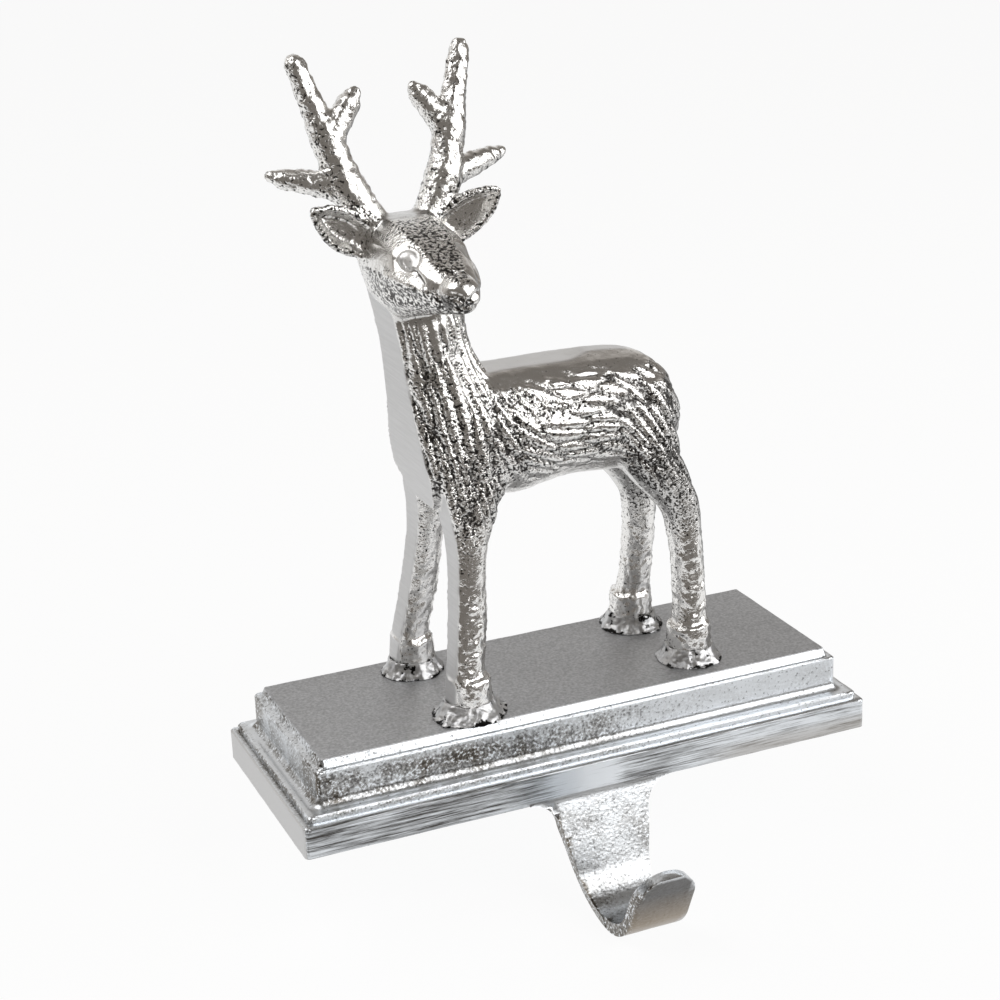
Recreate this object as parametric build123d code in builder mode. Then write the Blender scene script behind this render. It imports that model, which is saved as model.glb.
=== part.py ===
from build123d import *
import os
from math import asin, atan2, cos, degrees, pi, radians, sin, sqrt, tan

# Mantel stocking holder: a standing deer with turned head, welded by its hooves to a moulded
# base that carries a hook. All of it is cast aluminium, in millimetres.
# The origin is the middle of the underside, +Z is up, the deer's chest is towards -X, and the
# hook hangs below the shelf's edge, in front, towards -Y.

# Base: three rounded tiers with a cove, and a raised panel on top
base_length = 160.0
base_depth = 64.0
base_height = 22.0
corner_radius = 1.4
plinth_height = 8.4
step_inset = 1.7
step_height = 1.9
riser_inset = 5.8
cove_radius = 2.3
ledge_width = 1.5
panel_height = 2.2
panel_draft = 24.0
rim_chamfer = 0.5

# Hook: a strap below the plinth's front edge, bent round one arc into an upturned lip
hook_thickness = 3.3
hook_proud = 0.3
hook_drop = 29.0
hook_bend_radius = 14.0
hook_lean = 21.0
lip_lean = 25.0
lip_length = 15.6
hook_root_half_width = 12.5
hook_half_width = 8.0
hook_fillet = 7.5
hook_embed = 3.0

# Deer: datums. Heights of the legs are above the plate, all others above the belly line.
belly_height = 53.0
chest_x = -37.4
rump_x = 38.8
saddle_height = 33.0
saddle_end = 31.0
saddle_rise = 4.0

# Feet on the plate and the hips that the legs come down from
front_near_foot = (chest_x + 8.4, -16.0)
front_far_foot = (chest_x + 5.2, 16.0)
rear_near_foot = (rump_x - 1.8, -11.5)
rear_far_foot = (rump_x - 5.3, 16.0)
front_hip = (chest_x + 14.4, 9.4, 13.0)
rear_hip = (rump_x - 12.3, 7.0, 26.0)
hoof_height = 10.4
hoof_radius = 5.9
hoof_overlap = 2.0

# Trunk sections: x, height of the middle, half width, half height
trunk_rows = (
    (chest_x + 7.0, 18.4, 13.0, 14.6),
    (chest_x + 20.0, 18.4, 15.5, 16.2),
    (chest_x + 37.0, 17.4, 15.6, 16.8),
    (rump_x - 23.0, 17.3, 15.0, 16.5),
    (rump_x - 11.0, 16.8, 13.2, 14.8),
    (rump_x - 4.0, 15.5, 9.6, 10.5),
    (rump_x - 0.9, 13.7, 5.4, 5.9),
    (rump_x, 13.3, 2.6, 2.7),
)

# Chest and neck sections: height, flat front x, back x, half width, half width of the flat
neck_rows = (
    (0.4, chest_x + 4.0, chest_x + 23.0, 12.0, 8.5),
    (7.0, chest_x + 2.4, chest_x + 28.0, 15.6, 12.5),
    (15.0, chest_x + 0.9, chest_x + 32.0, 16.2, 12.3),
    (23.0, chest_x, chest_x + 30.0, 15.0, 10.0),
    (31.0, chest_x - 0.8, chest_x + 24.0, 13.0, 8.6),
    (38.0, chest_x - 1.5, chest_x + 19.2, 11.8, 7.8),
    (46.0, chest_x - 2.6, chest_x + 17.4, 11.0, 7.5),
    (55.0, chest_x - 4.6, chest_x + 15.9, 10.8, 7.0),
    (64.0, chest_x - 7.0, chest_x + 13.4, 9.4, 6.0),
)

# Leg sections from hip to hoof: share of the way down, bend in x, half length, half width
front_leg_rows = (
    (0.0, 0.0, 9.0, 5.2),
    (0.2, 0.3, 7.9, 6.0),
    (0.4, -0.2, 4.8, 5.2),
    (0.6, 0.0, 4.5, 4.7),
    (0.8, 0.0, 4.6, 4.6),
    (1.0, 0.0, 4.8, 4.8),
)
front_leg_flat = 0.8
hock_row = (0.56, 4.2, 4.9, 4.8)
haunch_rows = (
    (0.0, 0.0, 6.0, 5.0),
    (0.14, -2.0, 8.6, 7.0),
    (0.28, -2.6, 8.8, 7.4),
    (0.42, 0.9, 7.2, 6.3),
    hock_row,
)
cannon_rows = (
    hock_row,
    (0.78, 3.0, 4.3, 4.4),
    (1.0, 0.5, 4.8, 4.8),
)
rear_leg_flat = 0.4

# Head, facing -Y: reach forward, height above its datum, half width, rise and depth
head_x = chest_x + 1.0
head_height = 64.0
head_rows = (
    (-8.5, 1.0, 5.0, 5.6, 5.6),
    (0.0, 0.8, 10.2, 10.6, 12.0),
    (8.5, 0.4, 11.4, 12.0, 13.0),
    (17.0, 0.2, 11.3, 11.6, 11.2),
    (25.5, -0.3, 10.0, 9.8, 8.4),
    (34.0, -0.8, 7.4, 7.0, 5.9),
    (42.5, -0.8, 3.9, 3.8, 3.8),
)
shield_rows = ((0.36, -0.97), (0.8, -0.6), (1.0, 0.05), (0.86, 0.62), (0.46, 0.96))
nose_reach = 41.2
nose_drop = -0.5
nose_radius = 4.4
eye_place = (7.9, 27.5, 6.3)
eye_facing = (1.0, -0.25, 0.5)
socket_radius = 3.2
socket_depth = 1.5
eye_radius = 2.1

# Ears: almond dishes. Points are span from the head's middle, reach forward, height
ear_root = (5.0, 4.4, 2.4)
ear_tip = (25.2, 8.5, 16.8)
ear_half_width = 5.4
ear_thickness = 4.6
ear_taper = 20.0
ear_tip_round = 2.2
ear_rim = 1.2
ear_dish_depth = 2.0
ear_dish_taper = 35.0

# Antlers: points are span, reach forward and height, then each rod with its two radii
crown = (5.6, 5.4, 7.0)
fork = (12.4, 2.6, 18.8)
beam_tip = (20.9, -5.2, 48.0)
inner_root = (15.0, -0.8, 30.0)
inner_tip = (7.6, -2.2, 40.0)
outer_tip = (29.8, -2.6, 22.4)
antler_rods = (
    (crown, fork, 4.5, 4.1),
    (fork, beam_tip, 4.1, 2.6),
    (inner_root, inner_tip, 3.2, 2.0),
    (fork, outer_tip, 3.3, 1.6),
)
tip_length_share = 0.75
tip_radius_share = 0.5

# Weld beads round the hooves: outline radius, lobe height, lobe phase in turns
weld_height = 4.2
weld_top_radius = 6.6
weld_rows = (
    (front_near_foot, 10.2, 0.9, 0.10),
    (front_far_foot, 8.9, 0.5, 0.55),
    (rear_near_foot, 9.3, 0.3, 0.30),
    (rear_far_foot, 9.4, 0.5, 0.80),
)
weld_lobes = 3
weld_sides = 12

oval_sides = 20
back_sides = 15
rod_sides = 12
belly_z = base_height + belly_height
head_z = belly_z + head_height
front_y = -base_depth / 2
ON_FLOOR = (Align.CENTER, Align.CENTER, Align.MIN)
riser_height = base_height - panel_height - plinth_height - step_height


def oval(plane, half_width, half_height):
    """An oval section on a plane, in short straight sides as the pattern was carved."""
    turns = [2 * pi * (index + 0.5) / oval_sides for index in range(oval_sides)]
    with BuildSketch(plane) as section:
        with BuildLine():
            Polyline([(half_width * cos(turn), half_height * sin(turn)) for turn in turns], close=True)
        make_face()
    return section.sketch


def flat_fronted(height, flat_x, back_x, middle_y, half_width, flat_half):
    """A level oval section whose -X side is cut by a flat of the given half width."""
    bulge = sqrt(1 - (flat_half / half_width) ** 2)
    middle_x = (flat_x + bulge * back_x) / (1 + bulge)
    radius = back_x - middle_x
    last = pi - asin(flat_half / half_width)
    points = []
    for index in range(back_sides + 1):
        turn = last * (2 * index / back_sides - 1)
        points.append((middle_x + radius * cos(turn), middle_y + half_width * sin(turn)))
    with BuildSketch(Plane.XY.offset(height)) as section:
        with BuildLine():
            Polyline(points, close=True)
        make_face()
    return section.sketch


def shield(middle, half_width, rise, depth):
    """A head section, upright: level on top, widest at the cheeks, and narrow at the jaw."""
    points = []
    for side in (1, -1):
        rows = shield_rows if side == 1 else reversed(shield_rows)
        for across, up in rows:
            points.append((side * across * half_width, up * (rise if up > 0 else depth)))
    with BuildSketch(Plane(middle, x_dir=(1, 0, 0), z_dir=(0, -1, 0))) as section:
        with BuildLine():
            Polyline(points, close=True)
        make_face()
    return section.sketch


def leg_stations(hip, foot, side, rows):
    """Heights and middles of a leg's sections on the line from its hip to its hoof."""
    hip_z = belly_z + hip[2]
    hoof_z = base_height + hoof_height - hoof_overlap
    for share, bend, half_length, half_width in rows:
        x = hip[0] + (foot[0] - hip[0]) * share + bend
        y = side * hip[1] + (foot[1] - side * hip[1]) * share
        yield hip_z + (hoof_z - hip_z) * share, x, y, half_length, half_width


def leg(hip, foot, side, rows, flat_share):
    """Sections of a leg, with a flat along its -X side that is a share of its width."""
    return [
        flat_fronted(z, x - half_length, x + half_length, y, half_width, half_width * flat_share)
        for z, x, y, half_length, half_width in leg_stations(hip, foot, side, rows)
    ]


def rod(start, end, start_radius, end_radius):
    """A tapered rod between two points."""
    sections = []
    for middle, radius in ((start, start_radius), (end, end_radius)):
        with BuildSketch(Plane(middle, z_dir=end - start)) as section:
            RegularPolygon(radius, rod_sides)
        sections.append(section.sketch)
    loft(sections, ruled=True)


def head_point(span, reach, height):
    """A point given from the head's middle plane, forward and up."""
    return Vector(head_x + span, -reach, head_z + height)


def weld_outline(foot, radius, lobe, phase):
    """A lobed outline on the plate round a hoof, as molten metal freezes."""
    points = []
    for index in range(weld_sides):
        turn = 2 * pi * index / weld_sides
        reach = radius + lobe * sin(weld_lobes * turn + 2 * pi * phase) * cos(turn - 2 * pi * phase)
        points.append((foot[0] + reach * cos(turn), foot[1] + reach * sin(turn)))
    with BuildSketch(Plane.XY.offset(base_height)) as section:
        with BuildLine():
            Polyline(points, close=True)
        make_face()
    return section.sketch


def tier(inset, height):
    """A rounded rectangle of the base, set in from its edge."""
    with BuildSketch(Plane.XY.offset(height)) as section:
        RectangleRounded(base_length - 2 * inset, base_depth - 2 * inset, corner_radius)
    return section.sketch


# Hook: its bent line, as depth and height, from the plinth down and round to the lip
strap_half_level = hook_thickness / 2 / cos(radians(hook_lean))
strap_top = front_y - hook_proud + strap_half_level + hook_embed * tan(radians(hook_lean))
rise_of_bend = hook_bend_radius * (1 - sin(radians(hook_lean))) + hook_thickness / 2
strap_length = (hook_drop - rise_of_bend + hook_embed) / cos(radians(hook_lean))
with BuildLine() as hook_line:
    strap = PolarLine((strap_top, hook_embed), strap_length, 270 - hook_lean)
    bend = JernArc(strap @ 1, strap % 1, hook_bend_radius, hook_lean + lip_lean - 180)
    lip = PolarLine(bend @ 1, lip_length, direction=bend % 1)

with BuildPart() as hook_trim:
    bend_y = (bend @ 0.5).X
    lip_top = (lip @ 1).Y
    root_corner = (hook_root_half_width + hook_fillet, 0)
    with BuildSketch(Plane.XZ.offset(-bend_y)):
        with BuildLine():
            RadiusArc(root_corner, (hook_root_half_width, -hook_fillet), -hook_fillet)
            Polyline(
                (hook_root_half_width, -hook_fillet),
                (hook_half_width, -hook_drop),
                (0, -hook_drop),
                (0, hook_embed),
                (root_corner[0], hook_embed),
                root_corner,
            )
        make_face()
        mirror(about=Plane.YZ)
    extrude(amount=bend_y - base_depth)
    with BuildSketch(Plane.XZ.offset(-bend_y)):
        with Locations((0, lip_top - hook_half_width)):
            Circle(hook_half_width)
            Rectangle(2 * hook_half_width, hook_drop, align=(Align.CENTER, Align.MAX))
    extrude(amount=base_depth)

with BuildPart() as hook:
    with BuildSketch(Plane.YZ):
        add(hook_line.line)
        trace(line_width=hook_thickness)
    extrude(amount=root_corner[0], both=True)
    add(hook_trim.part, mode=Mode.INTERSECT)

# Base: tiers with broken rims, the cove, the raised panel, and the hook fused to the plinth
with BuildPart() as base_with_hook:
    tier_foot = 0
    for inset, height in ((0, plinth_height), (step_inset, step_height), (riser_inset, riser_height)):
        extrude(tier(inset, tier_foot), amount=height)
        tier_top = base_with_hook.faces().sort_by(Axis.Z)[-1]
        chamfer(tier_top.edges(), rim_chamfer)
        tier_foot += height
    riser_foot = plinth_height + step_height
    riser_half_length = base_length / 2 - riser_inset
    riser_half_depth = base_depth / 2 - riser_inset
    cove_edges = base_with_hook.edges().filter_by_position(Axis.Z, riser_foot, riser_foot)
    cove_edges = cove_edges.filter_by_position(Axis.X, -riser_half_length, riser_half_length)
    cove_edges = cove_edges.filter_by_position(Axis.Y, -riser_half_depth, riser_half_depth)
    fillet(cove_edges, cove_radius)
    extrude(tier(riser_inset + ledge_width, tier_foot), amount=panel_height, taper=panel_draft)
    add(hook.part)

# Ear: an almond with a drafted back and a dish in front, made once and mirrored
ear_start = head_point(*ear_root)
ear_along = head_point(*ear_tip) - ear_start
ear_across = ear_along.cross(Vector(0, -1, 0))
ear_forward = ear_across.cross(ear_along).normalized()
ear_front = Plane(ear_start + ear_forward * (ear_thickness / 2), x_dir=ear_along, z_dir=-ear_forward)
ear_arc = (ear_along.length**2 / 4 + ear_half_width**2) / (2 * ear_half_width)
with BuildPart() as ear:
    with BuildSketch(ear_front) as ear_outline:
        with BuildLine():
            RadiusArc((0, 0), (ear_along.length, 0), -ear_arc)
            RadiusArc((ear_along.length, 0), (0, 0), -ear_arc)
        make_face()
        fillet(ear_outline.vertices().sort_by(Axis.X)[-1], ear_tip_round)
    extrude(amount=ear_thickness, taper=ear_taper)
    with BuildSketch(ear_front):
        add(ear_outline.sketch_local)
        offset(amount=-ear_rim, mode=Mode.REPLACE)
    extrude(amount=ear_dish_depth, taper=ear_dish_taper, mode=Mode.SUBTRACT)

# Deer: trunk with the ground flat of its back, chest and neck, legs and hooves, then the head
with BuildPart() as deer:
    loft(
        [
            oval(Plane((x, 0, belly_z + z), x_dir=(0, 1, 0), z_dir=(1, 0, 0)), half_width, half_height)
            for x, z, half_width, half_height in trunk_rows
        ]
    )
    with BuildSketch(Plane.XZ):
        with BuildLine():
            Polyline(
                (chest_x, belly_z + saddle_height),
                (rump_x - saddle_end, belly_z + saddle_height),
                (rump_x, belly_z + saddle_height + saddle_rise),
                (chest_x, belly_z + saddle_height + saddle_rise),
                close=True,
            )
        make_face()
    extrude(amount=base_depth, both=True, mode=Mode.SUBTRACT)
    loft(
        [
            flat_fronted(belly_z + z, flat_x, back_x, 0, half_width, flat_half)
            for z, flat_x, back_x, half_width, flat_half in neck_rows
        ]
    )
    for foot, side in ((front_near_foot, -1), (front_far_foot, 1)):
        loft(leg(front_hip, foot, side, front_leg_rows, front_leg_flat))
    for foot, side in ((rear_near_foot, -1), (rear_far_foot, 1)):
        loft(leg(rear_hip, foot, side, haunch_rows, rear_leg_flat))
        loft(leg(rear_hip, foot, side, cannon_rows, rear_leg_flat))
    for foot in (front_near_foot, front_far_foot, rear_near_foot, rear_far_foot):
        with Locations((*foot, base_height)):
            Cylinder(hoof_radius, hoof_height, align=ON_FLOOR)
    loft(
        [
            shield(head_point(0, reach, z), half_width, rise, depth)
            for reach, z, half_width, rise, depth in head_rows
        ]
    )
    with Locations(Plane(head_point(0, nose_reach, nose_drop), z_dir=(0, -1, 0))):
        Sphere(nose_radius)
    for side in (-1, 1):
        eye = Plane(
            head_point(side * eye_place[0], *eye_place[1:]),
            z_dir=(side * eye_facing[0], *eye_facing[1:]),
        )
        with Locations(eye.offset(-socket_depth)):
            Cone(eye_radius, socket_radius, 2 * socket_depth, align=ON_FLOOR, mode=Mode.SUBTRACT)
        for start, end, start_radius, end_radius in antler_rods:
            root = head_point(side * start[0], *start[1:])
            tip = head_point(side * end[0], *end[1:])
            rod(root, tip, start_radius, end_radius)
            blunt_end = tip + (tip - root).normalized() * (end_radius * tip_length_share)
            rod(tip, blunt_end, end_radius, end_radius * tip_radius_share)
    add(ear.part)
    mirror(ear.part, about=Plane.YZ.offset(head_x))

# Weld beads: frozen puddles between each hoof and the plate
with BuildPart() as hoof_welds:
    for foot, radius, lobe, phase in weld_rows:
        slope = degrees(atan2(radius - weld_top_radius, weld_height))
        extrude(weld_outline(foot, radius, lobe, phase), amount=weld_height, taper=slope)
    add(deer.part, mode=Mode.SUBTRACT)

base_with_hook.part.label = "base_with_hook"
deer.part.label = "deer"
hoof_welds.part.label = "hoof_welds"

os.makedirs("parts", exist_ok=True)
export_step(base_with_hook.part, "parts/base_with_hook.step")
export_step(deer.part, "parts/deer.step")
export_step(hoof_welds.part, "parts/hoof_welds.step")
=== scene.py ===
"""Looks of the mantel stocking holder: a cast aluminium deer on a moulded base with a hook.

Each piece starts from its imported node. The deer and the beads of weld get a fine even skin, the base
is cut into small faces, and then they are softened, waved and carved as a sand casting is. Blender's
sizes are in metres, and the points that are carved are in millimetres.
"""

import math
from collections import namedtuple

import bpy
import numpy as np
from bpy.props import FloatProperty, FloatVectorProperty, IntProperty, PointerProperty
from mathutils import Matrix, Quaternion, Vector


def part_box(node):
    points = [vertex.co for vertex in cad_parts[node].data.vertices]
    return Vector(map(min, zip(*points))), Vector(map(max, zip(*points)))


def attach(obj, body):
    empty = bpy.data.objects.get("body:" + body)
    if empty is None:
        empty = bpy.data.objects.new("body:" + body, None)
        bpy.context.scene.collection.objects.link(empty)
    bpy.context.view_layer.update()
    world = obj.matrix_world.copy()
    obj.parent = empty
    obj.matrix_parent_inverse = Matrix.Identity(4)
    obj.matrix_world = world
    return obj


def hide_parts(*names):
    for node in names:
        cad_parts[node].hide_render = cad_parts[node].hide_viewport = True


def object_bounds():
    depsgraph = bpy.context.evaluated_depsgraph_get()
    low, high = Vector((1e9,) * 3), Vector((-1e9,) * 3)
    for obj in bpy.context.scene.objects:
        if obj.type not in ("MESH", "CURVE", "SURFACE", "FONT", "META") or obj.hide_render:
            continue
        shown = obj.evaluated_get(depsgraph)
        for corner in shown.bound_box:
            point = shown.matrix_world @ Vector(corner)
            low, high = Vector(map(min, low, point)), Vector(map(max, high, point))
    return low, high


bl_info = {
    "name": "Stocking holder",
    "version": (1, 0, 0),
    "blender": (4, 5, 0),
    "location": "View3D > Sidebar > Holder",
    "description": "Models and finishes a cast aluminium stocking holder",
    "category": "Object",
}

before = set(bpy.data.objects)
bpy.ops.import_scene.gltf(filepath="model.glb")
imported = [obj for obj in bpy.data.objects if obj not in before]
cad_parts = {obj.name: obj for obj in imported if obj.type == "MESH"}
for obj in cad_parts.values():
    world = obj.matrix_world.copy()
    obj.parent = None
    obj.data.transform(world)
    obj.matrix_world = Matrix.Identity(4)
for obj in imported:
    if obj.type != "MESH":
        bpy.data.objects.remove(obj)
CAD_LOW, CAD_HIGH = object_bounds()
MM = 0.001


def linear(code):
    """Linear colour of an sRGB hex value."""
    parts = [int(code[i : i + 2], 16) / 255 for i in (1, 3, 5)]
    return [p / 12.92 if p <= 0.04045 else ((p + 0.055) / 1.055) ** 2.4 for p in parts]


class CastingSizes(bpy.types.PropertyGroup):
    """Sizes of the castings' skin and carving."""

    deer_grid: FloatProperty(
        name="Deer grid", description="Edge length of the deer's skin", default=0.585 * MM, unit="LENGTH"
    )
    base_step: FloatProperty(
        name="Base step", description="Spacing of the cuts across the base", default=2.0 * MM, unit="LENGTH"
    )
    weld_grid: FloatProperty(
        name="Weld grid", description="Edge length of the beads' skin", default=0.3 * MM, unit="LENGTH"
    )
    tuft_relief: FloatProperty(
        name="Tuft relief", description="Height of a tuft above its groove", default=1.1 * MM, unit="LENGTH"
    )
    cast_wave: FloatProperty(
        name="Casting wave", description="Unevenness of the sand mould", default=0.3 * MM, unit="LENGTH"
    )
    seed: IntProperty(name="Seed", description="Seed of the tufts' places", default=7)


class FinishColours(bpy.types.PropertyGroup):
    """Colours of the finishes."""

    bright: FloatVectorProperty(
        name="Bright skin",
        description="Bare cast metal",
        default=linear("#eeedeb"),
        subtype="COLOR",
    )
    sanded: FloatVectorProperty(
        name="Sanded skin",
        description="Bare metal of the base",
        default=linear("#e6eaee"),
        subtype="COLOR",
    )
    # Also the colour of the painted shade in the deer's grooves and shaded places
    dark: FloatVectorProperty(
        name="Dark pits",
        description="Pits and grooves",
        default=linear("#1c1815"),
        subtype="COLOR",
    )
    ground: FloatVectorProperty(
        name="Ground flat",
        description="Sanded flats",
        default=linear("#d2d2d2"),
        subtype="COLOR",
    )
    plate: FloatVectorProperty(
        name="Top plate",
        description="Matt top of the base",
        default=linear("#bbbcbe"),
        subtype="COLOR",
    )
    # Also the colour of the painted reflection on the lip's front
    tan: FloatVectorProperty(
        name="Tarnish",
        description="Warm film on handled metal",
        default=linear("#8f8271"),
        subtype="COLOR",
    )
    # The grey wash's colour, which also paints shade on the base
    patina: FloatVectorProperty(
        name="Patina",
        description="Grey wash on the mouldings",
        default=linear("#757069"),
        subtype="COLOR",
    )
    # Also the darker top of the painted reflection on the lip's front
    scratch: FloatVectorProperty(
        name="Scratch",
        description="Dark sanding scratches",
        default=linear("#4d4b49"),
        subtype="COLOR",
    )
    soot: FloatVectorProperty(
        name="Weld void",
        description="Burnt voids in the beads",
        default=linear("#191817"),
        subtype="COLOR",
    )


class StageSizes(bpy.types.PropertyGroup):
    """Camera and lamps."""

    azimuth: FloatProperty(
        name="Azimuth",
        description="Camera's turn",
        default=math.radians(-22.7),
        subtype="ANGLE",
    )
    elevation: FloatProperty(
        name="Elevation",
        description="Camera's height above the horizon",
        default=math.radians(19.825),
        subtype="ANGLE",
    )
    roll: FloatProperty(
        name="Roll",
        description="Camera's roll",
        default=math.radians(-2.225),
        subtype="ANGLE",
    )
    place: FloatVectorProperty(
        name="Place",
        description="Camera's place",
        default=(-206.825 * MM, -466.824 * MM, 254.157 * MM),
        subtype="XYZ_LENGTH",
    )
    focal: FloatProperty(
        name="Focal length",
        description="Lens for a film 36 mm wide",
        default=74.96,
        unit="CAMERA",
    )
    key: FloatProperty(name="Key", description="Power of the key softbox", default=4.7, subtype="POWER")
    right: FloatProperty(name="Right", description="Power of the right softbox", default=4.7, subtype="POWER")
    left: FloatProperty(name="Left", description="Power of the left softbox", default=4.6, subtype="POWER")


def add_node(tree, kind, inputs=None, **settings):
    """Adds a node with its settings; an input gets a value, or a link from another node's output.

    Inputs go by name or number. Map Range: 0 the value, 1 and 2 its range, 3 and 4 what that becomes.
    Mix: 0 the share, 2 and 3 two numbers, 6 and 7 two colours. Math: 0, 1 and 2 its terms.
    """
    made = tree.nodes.new(kind)
    for key, value in settings.items():
        setattr(made, key, value)
    for key, value in (inputs or {}).items():
        socket = made.inputs[key]
        if isinstance(value, bpy.types.NodeSocket):
            tree.links.new(value, socket)
        else:
            socket.default_value = value
    return made


def colour(value):
    """A colour property as RGBA."""
    return (*value, 1.0)


def per(size_mm):
    """Texture scale for a grain of a size in millimetres."""
    return 1 / (size_mm * MM)


def new_material(name):
    """An empty node material and its tree."""
    material = bpy.data.materials.new(name)
    material.use_nodes = True
    material.node_tree.nodes.clear()
    return material, material.node_tree


def cast_aluminium(colours):
    """Sand-cast aluminium: the mould's grains leave a glittering skin of bright tops and black pits.

    The piece's attributes say where it was ground flat, how deep its grooves are, where shade is painted dark
    into them and into other shaded places, and how grainy it is, with painted shade in that as well.
    """
    material, tree = new_material("sand_cast_aluminium")
    at = add_node(tree, "ShaderNodeTexCoord").outputs["Object"]
    ground, groove, grain = (
        add_node(tree, "ShaderNodeAttribute", attribute_name=name).outputs["Fac"]
        for name in ("ground", "groove", "grain")
    )
    # Grains of 0.25 mm are drawn at 0.75 mm, so that they show in the render
    fine = add_node(
        tree, "ShaderNodeTexNoise", {"Vector": at, "Scale": per(0.75), "Detail": 2.0, "Roughness": 0.5}
    ).outputs[0]
    # As it froze, the skin drew into crumples about 2 mm across
    crumple = add_node(
        tree, "ShaderNodeTexNoise", {"Vector": at, "Scale": per(2.2), "Detail": 2.0, "Roughness": 0.6}
    ).outputs[0]
    # Sanding lines of 0.15 mm are drawn at 0.45 mm, so that they show; they lie level, about 1 cm long
    lines_at = add_node(tree, "ShaderNodeMapping", {"Vector": at, "Scale": (0.04, 0.04, 1.0)}).outputs[0]
    lines = add_node(
        tree, "ShaderNodeTexNoise", {"Vector": lines_at, "Scale": per(0.45), "Detail": 2.0, "Roughness": 0.6}
    ).outputs[0]
    # The grainier the skin, the more of it is pits, so the painted shade held in the grain mark darkens it
    shift = add_node(tree, "ShaderNodeMapRange", {0: grain, 3: 0.16, 4: -0.07}).outputs[0]
    level = add_node(tree, "ShaderNodeMath", {0: fine, 1: shift}, operation="ADD").outputs[0]
    pits = add_node(tree, "ShaderNodeMapRange", {0: level, 1: 0.42, 2: 0.47, 3: 0.95, 4: 0.0}).outputs[0]
    # Painted shade: the grooves and the shaded places are darkened towards the colour of the pits
    deep = add_node(tree, "ShaderNodeMapRange", {0: groove, 1: 0.4, 2: 0.9, 3: 0.0, 4: 0.9}).outputs[0]
    dim = add_node(tree, "ShaderNodeMath", {0: pits, 1: deep}, operation="MAXIMUM").outputs[0]
    skin = add_node(
        tree,
        "ShaderNodeMix",
        {0: dim, 6: colour(colours.bright), 7: colour(colours.dark)},
        data_type="RGBA",
    ).outputs[2]
    worn = add_node(tree, "ShaderNodeMapRange", {0: lines, 1: 0.3, 2: 0.7, 3: 0.94, 4: 1.04}).outputs[0]
    flat = add_node(
        tree,
        "ShaderNodeMix",
        {0: 1.0, 6: colour(colours.ground), 7: worn},
        data_type="RGBA",
        blend_type="MULTIPLY",
    ).outputs[2]
    shade = add_node(tree, "ShaderNodeMix", {0: ground, 6: skin, 7: flat}, data_type="RGBA").outputs[2]
    rough = add_node(tree, "ShaderNodeMapRange", {0: ground, 3: 0.22, 4: 0.5}).outputs[0]
    height = add_node(tree, "ShaderNodeMath", {0: fine, 1: crumple}, operation="ADD").outputs[0]
    relief = add_node(tree, "ShaderNodeMapRange", {0: grain, 1: 0.0, 2: 0.6, 3: 0.08, 4: 0.9}).outputs[0]
    bump = add_node(
        tree, "ShaderNodeBump", {"Strength": relief, "Distance": 0.34 * MM, "Height": height}
    ).outputs[0]
    shader = add_node(
        tree,
        "ShaderNodeBsdfPrincipled",
        {"Base Color": shade, "Metallic": 1.0, "Roughness": rough, "Normal": bump},
    ).outputs[0]
    add_node(tree, "ShaderNodeOutputMaterial", {"Surface": shader})
    return material


# Where the base's faces begin, as in the part: where a finish starts there and where it is full
PLATE_TOP = (21.6 * MM, 21.75 * MM)
PLINTH_FRONT = (-31.5 * MM, -31.7 * MM)
PLINTH_FOOT = (-1.0 * MM, 1.0 * MM)
PLINTH_END = (79.5 * MM, 79.7 * MM)
HOOK_TOP = (0.5 * MM, -1.5 * MM)
LIP_RISE = (-22 * MM, -11 * MM)


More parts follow.
